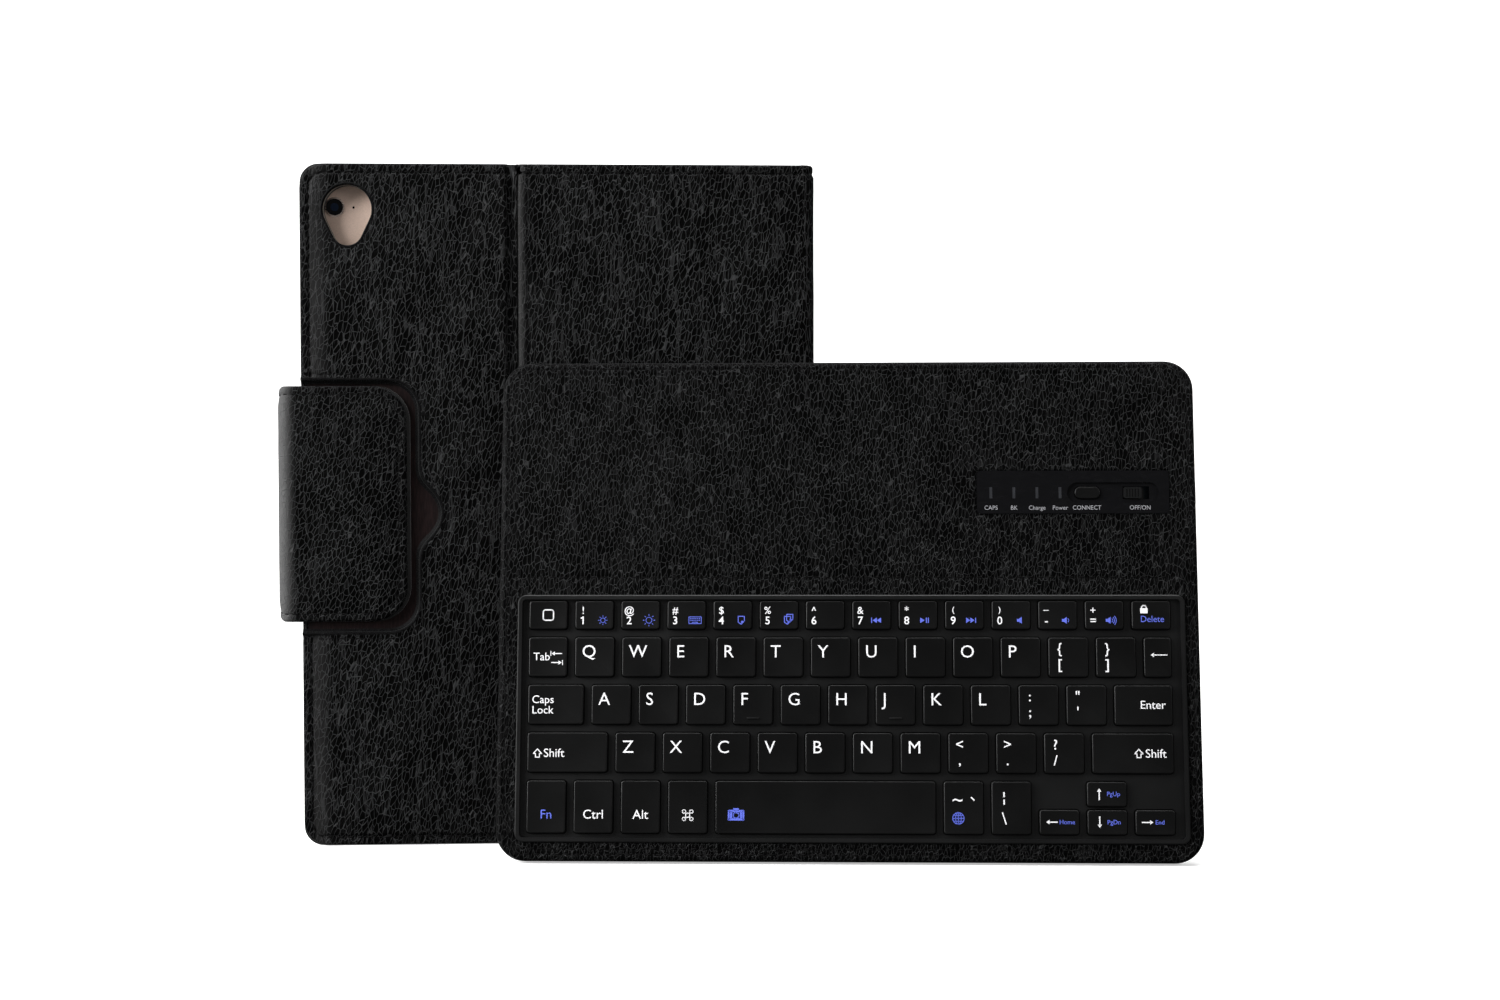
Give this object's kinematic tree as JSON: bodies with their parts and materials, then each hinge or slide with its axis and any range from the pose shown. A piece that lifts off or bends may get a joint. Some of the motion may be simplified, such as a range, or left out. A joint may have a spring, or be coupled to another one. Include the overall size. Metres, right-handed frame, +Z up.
{
  "type": "tablet keyboard case",
  "caption": "Leather-covered tablet folio, closed by a magnetic clasp and standing upright, with a detached wireless keyboard board leaning on it.",
  "frame": {"origin": "middle of the assembly's bounding box on X and Y, on the surface it stands on", "axes": "+X from the clasp edge to the spine, -Y the side the back cover and the keys face, +Z up"},
  "size_m": [0.3328, 0.0716, 0.252],
  "materials": {
    "leather_black": "pebbled, semi-matt",
    "leather_seat": "smooth, matt, dark brown-black",
    "lining_cloth": "brushed microfibre",
    "cover_stiffener": "fibreboard",
    "tray_plastic": "soft-touch moulding",
    "adhesive": "foam tape",
    "steel": "rolled sheet",
    "magnet_nickel": "nickel plated",
    "kb_housing": "fine texture",
    "frame_plastic": "fine texture, dark grey",
    "key_plastic": "satin, printed legends",
    "panel_gloss": "smooth",
    "light_guide": "frosted clear",
    "silicone": "soft",
    "circuit_green": "solder mask",
    "battery_foil": "pouch foil"
  },
  "bodies": {
    "stand_panel": {"stand_skin": "leather_black", "stand_board": "cover_stiffener", "stand_lining": "lining_cloth", "crease_strip": "leather_black", "back_hinge_strip": "leather_black"},
    "holder_panel": {"holder_skin": "leather_black", "holder_board": "cover_stiffener", "holder_lining": "lining_cloth", "clasp_seat": "leather_seat", "seat_keeper": "steel", "tray_adhesive": "adhesive", "tablet_tray": "tray_plastic"},
    "spine": {"spine_skin": "leather_black", "spine_board": "cover_stiffener"},
    "front_cover": {"cover_skin": "leather_black", "cover_board": "cover_stiffener", "cover_lining": "lining_cloth", "dock_magnets": "magnet_nickel", "front_hinge_strip": "leather_black"},
    "clasp_strap": {"clasp_strap": "leather_black"},
    "clasp_flap": {"flap_skin": "leather_black", "flap_magnets": "magnet_nickel", "flap_lining": "lining_cloth"},
    "keyboard": {"board_top_skin": "leather_black", "board_base_skin": "leather_black", "board_housing": "kb_housing", "dock_plate": "steel", "key_frame": "frame_plastic", "dome_sheet": "silicone", "circuit_board": "circuit_green", "battery": "battery_foil", "charge_port": "steel", "control_panel": "panel_gloss", "light_guides": "light_guide"},
    "connect_button": {"connect_button": "key_plastic"},
    "power_switch": {"power_switch": "key_plastic"},
    "key_home": {"key_home": "key_plastic"},
    "key_delete": {"key_delete": "key_plastic"},
    "key_tab": {"key_tab": "key_plastic"},
    "key_backspace": {"key_backspace": "key_plastic"},
    "key_caps": {"key_caps": "key_plastic"},
    "key_enter": {"key_enter": "key_plastic"},
    "key_shift_left": {"key_shift_left": "key_plastic"},
    "key_shift_right": {"key_shift_right": "key_plastic"},
    "key_fn": {"key_fn": "key_plastic"},
    "key_ctrl": {"key_ctrl": "key_plastic"},
    "key_alt": {"key_alt": "key_plastic"},
    "key_command": {"key_command": "key_plastic"},
    "key_space": {"key_space": "key_plastic"},
    "key_tilde": {"key_tilde": "key_plastic"},
    "key_backslash": {"key_backslash": "key_plastic"},
    "key_arrow_left": {"key_arrow_left": "key_plastic"},
    "key_arrow_right": {"key_arrow_right": "key_plastic"},
    "key_arrow_up": {"key_arrow_up": "key_plastic"},
    "key_arrow_down": {"key_arrow_down": "key_plastic"},
    "keys_number_row": {"keys_number_row": "key_plastic"},
    "keys_upper_row": {"keys_upper_row": "key_plastic"},
    "keys_home_row": {"keys_home_row": "key_plastic"},
    "keys_lower_row": {"keys_lower_row": "key_plastic"}
  },
  "joints": [
    {"name": "case_open", "type": "hinge", "parent": "stand_panel", "child": "spine", "pos_m": [0.02798, 0.01595, 0.126], "axis": [0, 0, -1], "range_deg": [0, 90], "deforming": ["crease_strip", "back_hinge_strip", "front_hinge_strip", "clasp_strap", "flap_skin", "flap_magnets", "flap_lining"]},
    {"name": "cover_fold", "type": "hinge", "parent": "spine", "child": "front_cover", "pos_m": [0.02798, 0.03424, 0.126], "axis": [0, 0, -1], "range_deg": [0, 90]},
    {"name": "crease_fold", "type": "hinge", "parent": "stand_panel", "child": "holder_panel", "pos_m": [-0.08072, 0.01435, 0.126], "axis": [0, 0, 1], "range_deg": [0, 36]},
    {"name": "clasp_swing", "type": "hinge", "parent": "front_cover", "child": "clasp_strap", "pos_m": [-0.15872, 0.03544, 0.1266], "axis": [0, 0, -1], "range_deg": [0, 90]},
    {"name": "clasp_straighten", "type": "hinge", "parent": "clasp_strap", "child": "clasp_flap", "pos_m": [-0.16087, 0.01334, 0.1266], "axis": [0, 0, -1], "range_deg": [0, 90]},
    {"name": "keyboard_detach", "type": "slide", "parent": "stand_panel", "child": "keyboard", "axis": [0, -1, 0], "range_m": [0, 0.15]},
    {"name": "connect_press", "type": "slide", "parent": "keyboard", "child": "connect_button", "axis": [0.0698, 0.988, -0.138], "range_m": [0, 0.0004], "stiffness_N_per_m": 600},
    {"name": "power_slide", "type": "slide", "parent": "keyboard", "child": "power_switch", "axis": [0.9975, -0.0705, 0], "range_m": [0, 0.0025]},
    {"name": "press_home", "type": "slide", "parent": "keyboard", "child": "key_home", "axis": [0.0698, 0.988, -0.138], "range_m": [0, 0.0012], "stiffness_N_per_m": 400},
    {"name": "press_delete", "type": "slide", "parent": "keyboard", "child": "key_delete", "axis": [0.0698, 0.988, -0.138], "range_m": [0, 0.0012], "stiffness_N_per_m": 400},
    {"name": "press_tab", "type": "slide", "parent": "keyboard", "child": "key_tab", "axis": [0.0698, 0.988, -0.138], "range_m": [0, 0.0012], "stiffness_N_per_m": 400},
    {"name": "press_backspace", "type": "slide", "parent": "keyboard", "child": "key_backspace", "axis": [0.0698, 0.988, -0.138], "range_m": [0, 0.0012], "stiffness_N_per_m": 400},
    {"name": "press_caps", "type": "slide", "parent": "keyboard", "child": "key_caps", "axis": [0.0698, 0.988, -0.138], "range_m": [0, 0.0012], "stiffness_N_per_m": 400},
    {"name": "press_enter", "type": "slide", "parent": "keyboard", "child": "key_enter", "axis": [0.0698, 0.988, -0.138], "range_m": [0, 0.0012], "stiffness_N_per_m": 400},
    {"name": "press_shift_left", "type": "slide", "parent": "keyboard", "child": "key_shift_left", "axis": [0.0698, 0.988, -0.138], "range_m": [0, 0.0012], "stiffness_N_per_m": 400},
    {"name": "press_shift_right", "type": "slide", "parent": "keyboard", "child": "key_shift_right", "axis": [0.0698, 0.988, -0.138], "range_m": [0, 0.0012], "stiffness_N_per_m": 400},
    {"name": "press_fn", "type": "slide", "parent": "keyboard", "child": "key_fn", "axis": [0.0698, 0.988, -0.138], "range_m": [0, 0.0012], "stiffness_N_per_m": 400},
    {"name": "press_ctrl", "type": "slide", "parent": "keyboard", "child": "key_ctrl", "axis": [0.0698, 0.988, -0.138], "range_m": [0, 0.0012], "stiffness_N_per_m": 400},
    {"name": "press_alt", "type": "slide", "parent": "keyboard", "child": "key_alt", "axis": [0.0698, 0.988, -0.138], "range_m": [0, 0.0012], "stiffness_N_per_m": 400},
    {"name": "press_command", "type": "slide", "parent": "keyboard", "child": "key_command", "axis": [0.0698, 0.988, -0.138], "range_m": [0, 0.0012], "stiffness_N_per_m": 400},
    {"name": "press_space", "type": "slide", "parent": "keyboard", "child": "key_space", "axis": [0.0698, 0.988, -0.138], "range_m": [0, 0.0012], "stiffness_N_per_m": 400},
    {"name": "press_tilde", "type": "slide", "parent": "keyboard", "child": "key_tilde", "axis": [0.0698, 0.988, -0.138], "range_m": [0, 0.0012], "stiffness_N_per_m": 400},
    {"name": "press_backslash", "type": "slide", "parent": "keyboard", "child": "key_backslash", "axis": [0.0698, 0.988, -0.138], "range_m": [0, 0.0012], "stiffness_N_per_m": 400},
    {"name": "press_arrow_left", "type": "slide", "parent": "keyboard", "child": "key_arrow_left", "axis": [0.0698, 0.988, -0.138], "range_m": [0, 0.0012], "stiffness_N_per_m": 400},
    {"name": "press_arrow_right", "type": "slide", "parent": "keyboard", "child": "key_arrow_right", "axis": [0.0698, 0.988, -0.138], "range_m": [0, 0.0012], "stiffness_N_per_m": 400},
    {"name": "press_arrow_up", "type": "slide", "parent": "keyboard", "child": "key_arrow_up", "axis": [0.0698, 0.988, -0.138], "range_m": [0, 0.0012], "stiffness_N_per_m": 400},
    {"name": "press_arrow_down", "type": "slide", "parent": "keyboard", "child": "key_arrow_down", "axis": [0.0698, 0.988, -0.138], "range_m": [0, 0.0012], "stiffness_N_per_m": 400},
    {"name": "press_number_row", "type": "slide", "parent": "keyboard", "child": "keys_number_row", "axis": [0.0698, 0.988, -0.138], "range_m": [0, 0.0012], "stiffness_N_per_m": 1200},
    {"name": "press_upper_row", "type": "slide", "parent": "keyboard", "child": "keys_upper_row", "axis": [0.0698, 0.988, -0.138], "range_m": [0, 0.0012], "stiffness_N_per_m": 1200},
    {"name": "press_home_row", "type": "slide", "parent": "keyboard", "child": "keys_home_row", "axis": [0.0698, 0.988, -0.138], "range_m": [0, 0.0012], "stiffness_N_per_m": 1200},
    {"name": "press_lower_row", "type": "slide", "parent": "keyboard", "child": "keys_lower_row", "axis": [0.0698, 0.988, -0.138], "range_m": [0, 0.0012], "stiffness_N_per_m": 1200}
  ],
  "couplings": [
    {"joint": "cover_fold", "follows": "case_open", "ratio": 1},
    {"joint": "crease_fold", "follows": "case_open", "ratio": 0.4},
    {"joint": "clasp_straighten", "follows": "clasp_swing", "ratio": 1}
  ]
}
